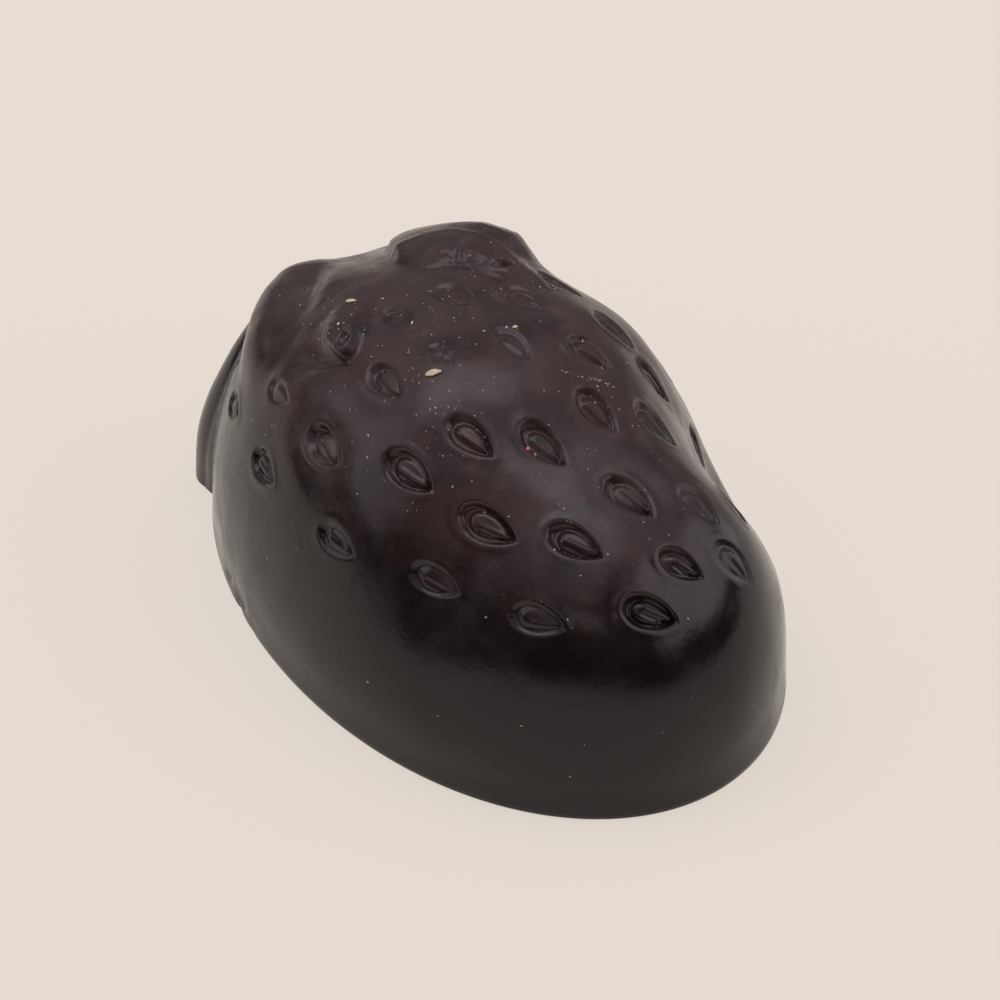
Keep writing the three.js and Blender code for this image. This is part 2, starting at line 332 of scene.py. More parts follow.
# the seed's own heights: u runs to its point, v across it
def pipAndPit(u, v, size, chance):
    length, width = size * seeds["length"], size * seeds["width"]
    inside = -teardropDistance(u, v, length, width)
    oneSide = np.cos(np.arctan2(v, u) - chance.uniform(0, 2 * math.pi))
    allRound, leaning = seeds["lipEven"]
    lip = bell((inside + seeds["lipOut"]) / seeds["lipWidth"])
    lip = seeds["lip"] * (allRound + leaning * oneSide) * lip
    back = np.clip(0.5 - u / length, 0, 1)
    atPoint, atRoundEnd = seeds["wall"]
    wall = atPoint + (atRoundEnd - atPoint) * smoothStep(back)
    pit = seeds["depth"] * smoothStep(inside / wall)

    pipU = u - seeds["pipShift"]
    pipV = v - chance.uniform(-seeds["pipDrift"], seeds["pipDrift"])
    pipInside = -teardropDistance(pipU, pipV, length * seeds["pipSize"], width * seeds["pipSize"])
    pip = seeds["pip"] * np.sqrt(climb(pipInside, -seeds["pipFoot"], seeds["pipRound"]))

    middle = width * seeds["uneven"] * chance.uniform(*seeds["foldBend"])
    fold = climb(pipInside, *seeds["fold"])
    fold = fold * climb(u / length, -chance.uniform(*seeds["foldStart"]), 0.2)
    fromRidge = v - middle * back * 2
    ridge = seeds["ridge"] * chance.uniform(*seeds["ridgeVaries"])
    ridge = ridge * bell(fromRidge / seeds["ridgeWidth"])
    grooveAt = seeds["grooveAt"] - seeds["grooveDrift"] * chance.random()
    groove = seeds["groove"] * chance.uniform(*seeds["grooveVaries"])
    groove = groove * bell((fromRidge - grooveAt) / seeds["grooveWidth"])
    return lip - pit + pip + fold * (ridge - groove)


def seedRelief(points):
    chance = random.Random(11)
    heights = np.zeros(len(points))
    reach, least = seeds["dishReach"], seeds["dishLeast"]
    for x, y, heading, size, strike in seeds["places"]:
        centre, forward, sideways = seedFrame(x, y, heading)
        away = points - centre
        near = np.flatnonzero(np.linalg.norm(away, axis=1) < 2.5 * reach)
        u, v = away[near] @ forward, away[near] @ sideways
        high = climb(centre[2], seeds["dishFrom"], seeds["dishFull"] - seeds["dishFrom"])
        dish = min(strike, 1) * (least + (1 - least) * high) * seeds["dish"]
        spread = ((seeds["dishLong"] * u) ** 2 + v ** 2) / reach ** 2
        heights[near] -= dish * np.exp(-spread ** seeds["dishFloor"])
        close = np.hypot(u, v) < seeds["length"]
        heights[near[close]] += strike * pipAndPit(u[close], v[close], size, chance)
    return heights


calyx = (0.3, 16.4)         # where the leaves meet
# a long leaf lies between its left and its right edge; lists of single numbers run along it
longLeaf = {
    "left": [(-0.6, 15.3), (-1.6, 12.6), (-3.6, 10.4), (-4.8, 9.4), (-5.4, 8.0), (-5.75, 6.3),
             (-5.85, 4.9), (-5.8, 4.1)],
    "right": [(2.6, 13.6), (1.7, 11.4), (1.15, 9.4), (-0.1, 8.1), (-1.5, 7.3), (-3.2, 5.8),
              (-4.7, 4.5), (-5.5, 4.0)],
    "rise": [0.1, 0.35, 0.42, 0.42, 0.5, 0.6, 0.6, 0.45],
    "flat": [0.05, 0.1, 0.2, 0.4, 0.5, 0.5],   # how far across it stays at its full rise
    "fall": 0.75,            # and how soon it is gone after that
    "edgeWidth": [0.25, 0.25, 0.4, 0.9, 1.0, 0.3, 0.22, 0.25],
    "edgeLead": 0.3,         # share of the edge that lies outside its line
    "start": 0.1,
    "end": (0.94, 0.06),
    "gutter": 0.35,          # depth of the pocket under its left edge
    "gutterShare": [0.4, 0.5, 0.3, 0, 0.1, 0.8, 1, 0.5],
    "gutterAt": 0.32,
    "gutterWidth": 0.2,
}
# a leaf that rolls up from its crease to a ridge and falls away behind
curledLeaf = {
    "crease": [(0.85, 9.2), (1.15, 7.4), (1.6, 6.55), (2.3, 6.3), (2.8, 5.7), (3.0, 4.8),
               (3.2, 3.8), (3.6, 3.0), (4.2, 2.2), (5.0, 1.4)],
    "ridge": [(1.3, 10.2), (2.3, 9.7), (3.5, 9.2), (4.1, 8.2), (4.4, 6.8), (4.8, 5.4),
              (5.0, 4.2), (5.2, 3.3), (5.3, 2.4), (5.3, 1.2)],
    "rise": [0.55, 0.8, 1.0, 1.2, 1.3, 1.1, 0.6, 0.3, 0.15, 0.05],    # of the fold along the ridge
    "lobe": [0.45, 0.75, 1.05, 1.3, 1.55, 1.4, 0.4, 0.1, 0.05, 0],   # of the lobe behind it
    "lobeFall": (1.75, 1.1),
    "behind": (1.12, 0.4),   # where the fold gives way to the lobe
    "start": 0.06,
    "profile": [(-0.6, 0), (-0.15, 0), (0, -0.1), (0.1, 0.16), (0.32, 0.42), (0.4, 0.56),
                (0.7, 0.8), (0.88, 0.9), (1.0, 1.0), (1.08, 0.97), (1.18, 0.86)],
    "bubbles": 0.02,         # small lumps over its front face
    "bubbleSize": 0.55,
}
# leaves that go over the shoulders: middle line, half widths inwards and outwards, the second
# at the start and at the end, and the shares of the line over which the rise comes in
shoulderLeaves = {
    "leftShoulder": {"line": [calyx, (-1.9, 15.1), (-3.7, 14.2), (-5.3, 12.8)], "rise": 1.3,
                     "inwards": 4.2, "outwards": (2.0, 3.8), "swell": (-0.1, 0.35)},
    "rightShoulder": {"line": [calyx, (3.4, 14.8), (6.4, 12.9), (8.8, 10.0)], "rise": 0.9,
                      "inwards": 2.5, "outwards": (1.8, 3.0), "swell": (0.25, 0.7)},
}
shoulderThinning = 0.35
# the berry falls away behind these leaves: middle, reach, depth
hollows = [((-5.0, 15.9, 10.4), 2.3, 0.6), ((5.0, 15.9, 10.4), 2.3, 0.6)]
# pits beside the leaves: across, along, half length, half width, heading, depth
leafPits = {
    "places": [(4.3, 3.95, 0.6, 0.26, -30, 0.35), (-5.15, 4.95, 0.42, 0.26, 40, 0.22)],
    "wall": (0.5, 0.6),
    "lip": 0.06,
    "lipAt": 1.35,
    "lipWidth": 0.25,
}


# a smooth line through the points, as many points as asked for
def smoothLine(points, count):
    points = np.array(points, float)
    padded = np.vstack([2 * points[0] - points[1], points, 2 * points[-1] - points[-2]])
    t = np.linspace(0, len(points) - 1, count)
    i = np.minimum(t.astype(int), len(points) - 2)
    f = (t - i)[:, None]
    a, b, c, d = padded[i], padded[i + 1], padded[i + 2], padded[i + 3]
    bend, twist = 2 * a - 5 * b + 4 * c - d, 3 * b - a - 3 * c + d
    return 0.5 * (2 * b + (c - a) * f + bend * f ** 2 + twist * f ** 3)


# seen from above, a strip between two lines: which points lie on it well above the wall, how
# far along they are, and how far across it from its near line to its far line
def stripPlaces(points, near, far, reach, steps=240, lanes=150, gap=0.12):
    near, far = smoothLine(near, steps), smoothLine(far, steps)
    shares = np.linspace(*reach, lanes)
    grid = near[:, None] + (far - near)[:, None] * shares[None, :, None]
    grid = grid.reshape(-1, 2)
    tree = kdtree.KDTree(len(grid))
    for index, (x, y) in enumerate(grid):
        tree.insert((x, y, 0), index)
    tree.balance()
    low, high = grid.min(axis=0) - 0.3, grid.max(axis=0) + 0.3
    inside = np.all((points[:, :2] > low) & (points[:, :2] < high), axis=1)
    known = np.zeros(len(points), bool)
    places = []
    for index in np.flatnonzero(inside & (points[:, 2] > berry["wall"] + 2)):
        found, number, distance = tree.find((points[index, 0], points[index, 1], 0))
        if distance < gap:
            known[index] = True
            places.append((number // lanes / (steps - 1), shares[number % lanes]))
    along, across = np.array(places).T
    return known, along, across


def alongValues(values, along):
    return np.interp(along, np.linspace(0, 1, len(values)), values)


def longLeafRelief(points):
    known, along, across = stripPlaces(points, longLeaf["left"], longLeaf["right"], (-0.6, 1.5))
    rise = alongValues(longLeaf["rise"], along)
    edgeWidth = alongValues(longLeaf["edgeWidth"], along)
    left = smoothStep((across + longLeaf["edgeLead"] * edgeWidth) / edgeWidth)
    right = 1 - climb(across, alongValues(longLeaf["flat"], along), longLeaf["fall"])
    end = 1 - climb(along, *longLeaf["end"])
    under = bell((across + longLeaf["gutterAt"]) / longLeaf["gutterWidth"])
    under = alongValues(longLeaf["gutterShare"], along) * under
    heights = np.zeros(len(points))
    start = smoothStep(along / longLeaf["start"])
    heights[known] = start * (rise * left * right * end - longLeaf["gutter"] * under)
    return heights


def curledLeafRelief(points):
    crease, ridge = curledLeaf["crease"], curledLeaf["ridge"]
    known, along, across = stripPlaces(points, crease, ridge, (-0.6, 3.2))
    steps, shares = np.array(curledLeaf["profile"]).T
    fold = alongValues(curledLeaf["rise"], along) * np.interp(across, steps, shares)
    lobe = alongValues(curledLeaf["lobe"], along) * (1 - climb(across, *curledLeaf["lobeFall"]))
    behind = climb(across, *curledLeaf["behind"])
    start = smoothStep(along / curledLeaf["start"])
    lumps = [noise.noise(Vector(point) / curledLeaf["bubbleSize"]) for point in points[known]]
    front = climb(across, 0, 0.15) * (1 - climb(across, 0.75, 0.3)) * (1 - climb(along, 0.5, 0.3))
    heights = np.zeros(len(points))
    heights[known] = start * (fold * (1 - behind) + lobe * behind)
    heights[known] += curledLeaf["bubbles"] * np.array(lumps) * front
    return heights


def shoulderRelief(points, leaf, farthest=10):
    line = smoothLine(leaf["line"], 160)
    line = np.stack([line[:, 0], line[:, 1], crownHeight(line[:, 0], line[:, 1])], axis=1)
    near = np.flatnonzero(np.linalg.norm(points - line.mean(axis=0), axis=1) < farthest)
    distance = np.sqrt(((points[near, None] - line[None]) ** 2).sum(axis=2))
    nearest = distance.argmin(axis=1)
    along = nearest / (len(line) - 1)
    away = points[near] - line[nearest]
    outer = smoothStep(0.5 + (away[:, 1] - away[:, 2]) / 2)    # outwards is back and down
    width = leaf["inwards"] + (alongValues(leaf["outwards"], along) - leaf["inwards"]) * outer
    begin, full = leaf["swell"]
    rise = leaf["rise"] * (1 - shoulderThinning * along) * climb(along, begin, full - begin)
    heights = np.zeros(len(points))
    heights[near] = rise * (1 - smoothStep(distance.min(axis=1) / width))
    return heights


def pitRelief(points):
    heights = np.zeros(len(points))
    for middle, reach, depth in hollows:
        away = np.linalg.norm(points - np.array(middle), axis=1) / reach
        heights -= depth * (1 - smoothStep(away))
    for x, y, halfLong, halfWide, heading, depth in leafPits["places"]:
        cosine, sine = math.cos(math.radians(heading)), math.sin(math.radians(heading))
        away = points[:, :2] - np.array([x, y])
        u = (away[:, 0] * cosine + away[:, 1] * sine) / halfLong
        v = (away[:, 1] * cosine - away[:, 0] * sine) / halfWide
        reach = np.hypot(u, v)
        heights -= depth * (1 - climb(reach, *leafPits["wall"]))
        heights += leafPits["lip"] * bell((reach - leafPits["lipAt"]) / leafPits["lipWidth"])
    return heights


# lumps of rough chocolate, one height for each point
def lumpsAt(points, size, roughness):
    return np.array([noise.fractal(Vector(point) / size, roughness, 2.0, 3) for point in points])


# scuffed, lumpy places: across, along, reach, height of the lumps
scuffs = {
    "grain": 0.5,
    "places": [(-4.5, 6.2, 1.9, 0.07), (-2.8, 0.1, 1.2, 0.06), (4.6, 3.4, 1.6, 0.05),
               (0.6, -1.2, 1.2, 0.035), (-5.6, -6.6, 2.0, 0.02)],
}


def scuffRelief(points):
    heights = np.zeros(len(points))
    for x, y, reach, height in scuffs["places"]:
        away = np.hypot(points[:, 0] - x, points[:, 1] - y) / reach
        near = np.flatnonzero((away < 1) & (points[:, 2] > berry["wall"] + 2))
        lumps = lumpsAt(points[near], scuffs["grain"], 0.8)
        heights[near] += height * lumps * (1 - smoothStep(away[near]))
    return heights


# chips in the lower edge on the left: across, along, height, reach, depth
chips = {
    "grain": 0.4,
    "places": [(-12.35, 6.4, 0.7, 1.2, 0.28), (-12.75, 4.3, 0.4, 0.7, 0.2),
               (-11.9, 8.3, 1.1, 0.8, 0.2), (-12.1, 7.4, 2.0, 0.6, 0.12)],
}


def chipRelief(points):
    heights = np.zeros(len(points))
    for x, y, z, reach, depth in chips["places"]:
        away = np.linalg.norm(points - np.array([x, y, z]), axis=1) / reach
        near = np.flatnonzero(away < 1)
        lumps = lumpsAt(points[near], chips["grain"], 0.7)
        heights[near] -= depth * (0.5 + lumps) * (1 - smoothStep(away[near]))
    return heights


# a thin scratch across the back, with low banks pushed up beside it
scratch = {
    "line": [(1.7, -4.35), (2.7, -5.05), (3.3, -5.4), (3.9, -5.95)],
    "width": 0.09,
    "depth": 0.05,
    "bank": 0.6,
    "bankAt": 1.6,
}


def scratchRelief(points):
    line = smoothLine(scratch["line"], 80)
    near = np.flatnonzero(np.linalg.norm(points[:, :2] - line.mean(axis=0), axis=1) < 3)
    away = np.linalg.norm(points[near, None, :2] - line[None], axis=2).min(axis=1)
    away = away / scratch["width"]
    heights = np.zeros(len(points))
    banks = scratch["bank"] * bell(away - scratch["bankAt"])
    heights[near] = scratch["depth"] * (banks - bell(away))
    return heights


# the mould's surface is a little uneven, and its right flank is fuller than the left
unevenness = {
    "waves": [(3.2, 0.035), (1.1, 0.006)],    # size, height
    "wavesFrom": 0.5,        # height over which the waves come in
    "fuller": 0.14,
    "fullerAcross": 6,
    "fullerUp": (6, 6),
}


def waveRelief(points):
    heights = np.zeros(len(points))
    for size, height in unevenness["waves"]:
        heights += height * np.array([noise.noise(Vector(point) / size) for point in points])
    fuller = unevenness["fuller"] * climb(points[:, 0], 0, unevenness["fullerAcross"])
    fuller = fuller * climb(points[:, 2], *unevenness["fullerUp"])
    return heights * climb(points[:, 2], unevenness["wavesFrom"], berry["wall"]) + fuller


# two leaves hang down behind, one on each flank: their middle line and the way they face
hangingLeaf = {
    "drop": [(3.4, 16.4, 9.4), (5.7, 16.3, 7.0), (7.0, 16.7, 3.8), (7.4, 17.1, 0.0),
             (7.8, 17.4, -6.0)],
    "face": (0.96, 0.15, 0.23),
    "half": 2.5,
    "rise": 0.75,
    "bury": 3.2,             # how far it reaches into the berry
    "neck": 0.2,             # where along a full leaf shape it starts, and how much of it follows
    "reach": 0.78,
    "fullness": 0.8,
    "droop": 0.6,            # share of the rise that it loses on its way down
    "root": (1.2, 0.2),      # its start is sunk this deep, over this share of its length
    "vault": 0.45,           # share of the rise that is lost at its sides
    "side": 0.6,
    "rim": (0.72, 0.28),     # the upper part of its thickness over which it draws in
    "rimRound": 0.75,
    "cuts": 41,
}


def addHangingLeaf(flank):
    bpy.ops.object.select_all(action="DESELECT")
    bpy.ops.mesh.primitive_cube_add(size=2)
    leaf = bpy.context.object
    bpy.ops.object.mode_set(mode="EDIT")
    bpy.ops.mesh.subdivide(number_cuts=hangingLeaf["cuts"])
    bpy.ops.object.mode_set(mode="OBJECT")
    start = (*calyx, crownHeight(*np.array([calyx]).T)[0])
    line = smoothLine([start] + [(flank * x, y, z) for x, y, z in hangingLeaf["drop"]], 400)
    steps = np.linalg.norm(np.diff(line, axis=0), axis=1)
    travelled = np.concatenate([[0], np.cumsum(steps)]) / steps.sum()

    def onLine(t):
        return np.stack([np.interp(t, travelled, line[:, axis]) for axis in range(3)], axis=1)

    # the cube's second axis runs down the leaf, its first across it and its third out of it
    cube = readPoints(leaf) * mm
    u, t, up = cube[:, 0], (cube[:, 1] + 1) / 2, (cube[:, 2] + 1) / 2
    middle = onLine(t)
    tangent = unit(onLine(t + 0.01) - onLine(t - 0.01))
    outward = unit(middle / np.array([halfWidth ** 2, halfLength ** 2, berry["height"] ** 2]))
    face = np.array(hangingLeaf["face"]) * (flank, 1, 1)
    face = unit(outward * (1 - t)[:, None] + face * t[:, None])
    across = unit(np.cross(tangent, face))

    # across a leaf the cube's square section becomes a low vault with a rounded rim
    outline = np.sin(math.pi * (hangingLeaf["neck"] + hangingLeaf["reach"] * t))
    width = hangingLeaf["half"] * outline ** hangingLeaf["fullness"]
    sunk, sunkFor = hangingLeaf["root"]
    rise = hangingLeaf["rise"] * (1 - hangingLeaf["droop"] * t ** 3)
    rise = rise - sunk * (1 - smoothStep(t / sunkFor))
    rimFrom, rimSpan = hangingLeaf["rim"]
    rim = np.maximum(0, (up - rimFrom) / rimSpan) ** 2
    rim = np.sqrt(np.maximum(0, 1 - rim * hangingLeaf["rimRound"]))
    vault = rise * (1 - hangingLeaf["vault"] * u ** 2)
    bury = hangingLeaf["bury"]
    lift = -bury + (vault + bury) * up ** hangingLeaf["side"]
    writePoints(leaf, middle + across * (u * width * rim)[:, None] + face * lift[:, None])
    return leaf


def joinLeaf(body, leaf):
    selectOnly(body)
    join = body.modifiers.new("joinLeaf", "BOOLEAN")
    join.operation = "UNION"
    join.solver = "MANIFOLD"
    join.object = leaf
    bpy.ops.object.modifier_apply(modifier=join.name)
    bpy.data.objects.remove(leaf)


# the leaves' lower ends stick out below the table, so everything there is cut off flat
def flattenUnderside(body):
    selectOnly(body)
    bpy.ops.object.mode_set(mode="EDIT")
    bpy.ops.mesh.select_all(action="SELECT")
    bpy.ops.mesh.bisect(plane_co=(0, 0, 0), plane_no=(0, 0, 1), clear_inner=True, use_fill=True,
                        threshold=1e-7)
    bpy.ops.object.mode_set(mode="OBJECT")


studio = {
    "camera": (-69.275, -90.782, 107.43),   # millimetres from the middle of the underside
    "look": (0.45503, 0.58755, -0.66913),
    "lens": 100.8,
    "sensor": 36,
    "shiftY": 0.02,
    "paper": (0.79, 0.72, 0.65),
    "paperRoughness": 0.9,
    "floorGlow": 0.8,        # the sheet glows, which keeps the shadows on it faint
    "floorPaint": 0.25,
    "floorSize": 1.6,        # metres
    "room": (0.79, 0.72, 0.64),
    "roomGlow": 0.07,
}


def addCamera():
    data = bpy.data.cameras.new("camera")
    camera = bpy.data.objects.new("camera", data)
    bpy.context.scene.collection.objects.link(camera)
    camera.location = Vector(studio["camera"]) * mm
    camera.rotation_euler = Vector(studio["look"]).to_track_quat("-Z", "Y").to_euler()
    data.lens = studio["lens"]
    data.sensor_width = studio["sensor"]
    data.shift_y = studio["shiftY"]
    data.clip_start = 0.005
    data.clip_end = 20
    bpy.context.scene.camera = camera


def addFloor():
    bpy.ops.object.select_all(action="DESELECT")
    bpy.ops.mesh.primitive_plane_add(size=studio["floorSize"])
    floor = bpy.context.object
    floor.name = "floor"
    painted = [channel * studio["floorPaint"] for channel in studio["paper"]]
    material, shader = startMaterial("paperSheet", painted, studio["paperRoughness"])
    shader.inputs["Specular IOR Level"].default_value = 0
    shader.inputs["Emission Color"].default_value = (*studio["paper"], 1)
    shader.inputs["Emission Strength"].default_value = studio["floorGlow"]
    floor.data.materials.append(material)


def addWorld():
    world = bpy.data.worlds.new("room")
    bpy.context.scene.world = world
    world.use_nodes = True
    background = world.node_tree.nodes["Background"]
    background.inputs["Color"].default_value = (*studio["room"], 1)
    background.inputs["Strength"].default_value = studio["roomGlow"]


# softboxes round the table, placed in metres as the camera faces it: to the right, away and up,
# then size and brightness; level ones shine down, upright ones face the middle
lamps = {
    "overBack": {"place": (0, 0.77, 0.6), "level": True, "size": (1.6, 0.8), "bright": 0.34},
    "overEdge": {"place": (-0.13, 0.14, 0.58), "level": True, "size": (0.7, 0.34), "bright": 2.2},
    "overRight": {"place": (0.44, 0.12, 0.58), "level": True, "size": (0.44, 0.48), "bright": 0.6},
    "overFront": {"place": (-0.14, -0.26, 0.6), "level": True, "size": (0.72, 0.5), "bright": 0.5},
    "frontEdge": {"place": (-0.15, -0.68, 0.54), "level": False, "size": (0.95, 0.13), "bright": 1},
    "leftSide": {"place": (-0.69, 0, 0.42), "level": False, "size": (0.6, 0.54), "bright": 1.15},
    "rightSide": {"place": (0.69, -0.1, 0.49), "level": False, "size": (0.72, 0.5), "bright": 1.5},
    "lowRight": {"place": (0.68, 0.26, 0.14), "level": False, "size": (0.45, 0.26), "bright": 1.15},
    "farRight": {"place": (0.42, 0.58, 0.33), "level": False, "size": (0.9, 0.56), "bright": 0.3},
    "farLeft": {"place": (-0.36, 0.58, 0.33), "level": False, "size": (0.8, 0.56), "bright": 0.3},
}
lampColour = (1, 0.965, 0.985)


def addLamp(name, lamp):
    data = bpy.data.lights.new(name, "AREA")
    data.shape = "RECTANGLE"
    data.size, data.size_y = lamp["size"]
    data.energy = lamp["bright"] * math.pi * data.size * data.size_y
    data.color = lampColour
    light = bpy.data.objects.new(name, data)
    bpy.context.scene.collection.objects.link(light)
    away = Vector((studio["look"][0], studio["look"][1], 0)).normalized()
    right = Vector((away.y, -away.x, 0))
    across, along, height = lamp["place"]
    light.location = right * across + away * along + Vector((0, 0, height))
    if lamp["level"]:
        light.rotation_euler = (0, 0, math.atan2(right.y, right.x))
    else:
        outwards = math.atan2(light.location.y, light.location.x)
        light.rotation_euler = (math.pi / 2, 0, outwards + math.pi / 2)


# the clouds are given by their size in millimetres and the range that is spread from 0 to 1
chocolate = {
    "deep": (0.008, 0.0047, 0.0054),     # walls and lower flanks, darker than the painted light on the back
    "paintedTopLight": (0.038, 0.0165, 0.0160),     # painted light: the berry's back is painted lighter and redder, where the light from above falls
    "paintedTopLightMask": {"From": 10.5, "Full": 15.5, "Uneven": 2.0},    # heights in millimetres over which the painted light on the back comes in
    "paintedTopLightClouds": {"Size": 3.4, "Low": 0.25, "High": 0.75},
    "mottle": {"Size": 2.6, "Detail": 4.0, "Low": 0.2, "High": 0.6},
    "roughness": 0.15,
    "dull": 0.2,                         # what the duller clouds add to it
    "dullClouds": {"Size": 2.0, "Detail": 5.0, "Low": 0.35, "High": 0.8},
    "satin": 0.08,                       # the back is so much duller than the wall
    "bloom": (0.069, 0.044, 0.042),      # a thin pale film in patches
    "bloomShare": 0.5,
    "bloomClouds": {"Size": 1.3, "Detail": 6.0, "Low": 0.52, "High": 0.75},
    "ior": 1.44,
    "sheen": (1, 0.94, 0.975),           # tint of its reflections
    "bump": 0.09,
    "bumpHeight": 0.05,
    "bumpClouds": {"Size": 0.45, "Detail": 4.0, "Low": 0.2, "High": 0.8},
}


def startMaterial(name, colour, roughness):
    material = bpy.data.materials.new(name)
    material.use_nodes = True
    shader = material.node_tree.nodes["Principled BSDF"]
    shader.inputs["Base Color"].default_value = (*colour, 1)
    shader.inputs["Roughness"].default_value = roughness
    return material, shader


# a new node group of plain numbers that gives out one mask
def startGroup(name, inputs):
    group = bpy.data.node_groups.new(name, "ShaderNodeTree")
    for socketName, value in inputs.items():
        socket = group.interface.new_socket(name=socketName, in_out="INPUT",
                                            socket_type="NodeSocketFloat")
        socket.default_value = value
    group.interface.new_socket(name="Mask", in_out="OUTPUT", socket_type="NodeSocketFloat")
    return group, group.nodes.new("NodeGroupInput").outputs, group.nodes.new("NodeGroupOutput")


# an input is fed by another node's output or holds a value of its own
def feed(tree, socket, value):
    if isinstance(value, bpy.types.NodeSocket):
        tree.links.new(value, socket)
    else:
        socket.default_value = value


def addNode(tree, kind, settings, inputs):
    node = tree.nodes.new(kind)
    for name, value in settings.items():
        setattr(node, name, value)
    for name, value in inputs.items():
        feed(tree, node.inputs[name], value)
    return node


def addMath(tree, operation, *inputs):
    node = addNode(tree, "ShaderNodeMath", {"operation": operation}, dict(enumerate(inputs)))
    return node.outputs[0]


def addMask(tree, group, inputs):
    return addNode(tree, "ShaderNodeGroup", {"node_tree": group}, inputs).outputs["Mask"]


def spreadMask(group, end, value, low, high):
    spread = addNode(group, "ShaderNodeMapRange", {"interpolation_type": "SMOOTHSTEP"},
                     {"Value": value, "From Min": low, "From Max": high})
    group.links.new(spread.outputs["Result"], end.inputs["Mask"])


# clouds of a size in millimetres, 0 to 1, placed by the object's own coordinates
def cloudGroup():
    group, start, end = startGroup("clouds", {"Size": 1.0, "Detail": 3.0, "Low": 0.3, "High": 0.7})
    place = group.nodes.new("ShaderNodeTexCoord").outputs["Object"]
    scale = addMath(group, "DIVIDE", 1 / mm, start["Size"])
    cloud = addNode(group, "ShaderNodeTexNoise", {},
                    {"Vector": place, "Scale": scale, "Detail": start["Detail"], "Roughness": 0.6})
    spreadMask(group, end, cloud.outputs["Fac"], start["Low"], start["High"])
    return group


# the height above the table as a mask, its edge broken up by clouds
def heightGroup(clouds):
    group, start, end = startGroup("heightMask", {"From": 0.0, "Full": 1.0, "Uneven": 2.0})
    place = group.nodes.new("ShaderNodeTexCoord").outputs["Object"]
    split = addNode(group, "ShaderNodeSeparateXYZ", {}, {"Vector": place})
    cloud = addMask(group, clouds, chocolate["paintedTopLightClouds"])
    shift = addMath(group, "MULTIPLY", cloud, start["Uneven"])
    level = addMath(group, "MULTIPLY_ADD", split.outputs["Z"], 1 / mm, shift)
    spreadMask(group, end, level, start["From"], start["Full"])
    return group


def mixColours(tree, share, first, second):
    mix = tree.nodes.new("ShaderNodeMix")
    mix.data_type = "RGBA"
    for socket, value in ((mix.inputs[0], share), (mix.inputs[6], first), (mix.inputs[7], second)):
        feed(tree, socket, value)
    return mix.outputs[2]


def addChocolate():
    material, shader = startMaterial("darkChocolate", chocolate["deep"], chocolate["roughness"])
    tree = material.node_tree
    clouds = cloudGroup()
    # painted light: going up, the back is painted lighter and redder in cloudy patches, where the
    # light from above falls; the pale bloom and the duller finish use the same mask
    paintedTopLightMask = addMask(tree, heightGroup(clouds), chocolate["paintedTopLightMask"])
    paintedTopLightShare = addMath(tree, "MULTIPLY", paintedTopLightMask, addMask(tree, clouds, chocolate["mottle"]))
    colour = mixColours(tree, paintedTopLightShare, (*chocolate["deep"], 1), (*chocolate["paintedTopLight"], 1))
    film = addMath(tree, "MULTIPLY", addMask(tree, clouds, chocolate["bloomClouds"]), paintedTopLightMask)
    film = addMath(tree, "MULTIPLY", film, chocolate["bloomShare"])
    colour = mixColours(tree, film, colour, (*chocolate["bloom"], 1))
    tree.links.new(colour, shader.inputs["Base Color"])

    # a greasy sheen with duller clouds, duller all over on the back
    dull = addMask(tree, clouds, chocolate["dullClouds"])
    roughness = addMath(tree, "MULTIPLY_ADD", dull, chocolate["dull"], chocolate["roughness"])
    roughness = addMath(tree, "MULTIPLY_ADD", paintedTopLightMask, chocolate["satin"], roughness)
    tree.links.new(roughness, shader.inputs["Roughness"])
    bump = addNode(tree, "ShaderNodeBump", {},
                   {"Strength": chocolate["bump"], "Distance": chocolate["bumpHeight"] * mm,
                    "Height": addMask(tree, clouds, chocolate["bumpClouds"])})
    tree.links.new(bump.outputs["Normal"], shader.inputs["Normal"])
    shader.inputs["IOR"].default_value = chocolate["ior"]
    shader.inputs["Specular Tint"].default_value = (*chocolate["sheen"], 1)
    return material


# crumbs, in millimetres: across, along, heading in degrees, length, width, thickness
creamCrumbs = {
    "colour": (0.72, 0.62, 0.45),
    "places": [(-3.85, -0.73, -36, 0.84, 0.38, 0.22), (-3.3, 7.3, -48, 0.55, 0.26, 0.16),
               (1.3, -0.9, -20, 0.3, 0.18, 0.14), (0.95, -0.65, 30, 0.16, 0.12, 0.1),
               (-2.2, 3.25, 20, 0.24, 0.14, 0.12), (-4.9, 6.2, 10, 0.2, 0.14, 0.1)],
}
pinkCrumbs = {
    "colour": (0.62, 0.22, 0.17),
    "places": [(-2.45, -6.75, 35, 0.34, 0.18, 0.16), (-2.3, -7.15, 60, 0.2, 0.14, 0.14)],
}
crumbRoughness = 0.6
# dust: clusters of across, along, spread and count; grains in the scratch; single ones on the
# wall, with their height
dust = {
    "colour": (0.5, 0.45, 0.42),
    "roughness": 0.7,
    "size": (0.045, 0.12),
    "clusters": [(-5.0, 5.6, 1.3, 26), (-3.3, -0.2, 1.6, 34), (-6.2, -2.4, 1.8, 22),
                 (-4.6, -3.2, 1.4, 20), (0.6, 2.6, 2.0, 18), (-3.4, 9.0, 1.8, 14),
                 (-8.2, 3.0, 2.2, 12), (2.6, -5.2, 2.0, 14), (-5.5, -12.0, 3.4, 20),
                 (-1.0, -9.0, 3.0, 14), (4.0, 4.5, 2.4, 16), (0.0, -15.5, 2.4, 10),
                 (0.0, 0.0, 9.0, 40)],
    "inScratch": 26,
    "scratchSpread": 0.06,
    "wall": [(-12.97, -3.11, 3.47), (-10.2, -9.6, 4.6), (-11.9, 3.2, 6.2), (-6.8, -15.4, 3.0),
             (-3.0, -17.6, 5.4), (-12.2, -6.0, 4.4), (2.4, -18.2, 4.2)],
}


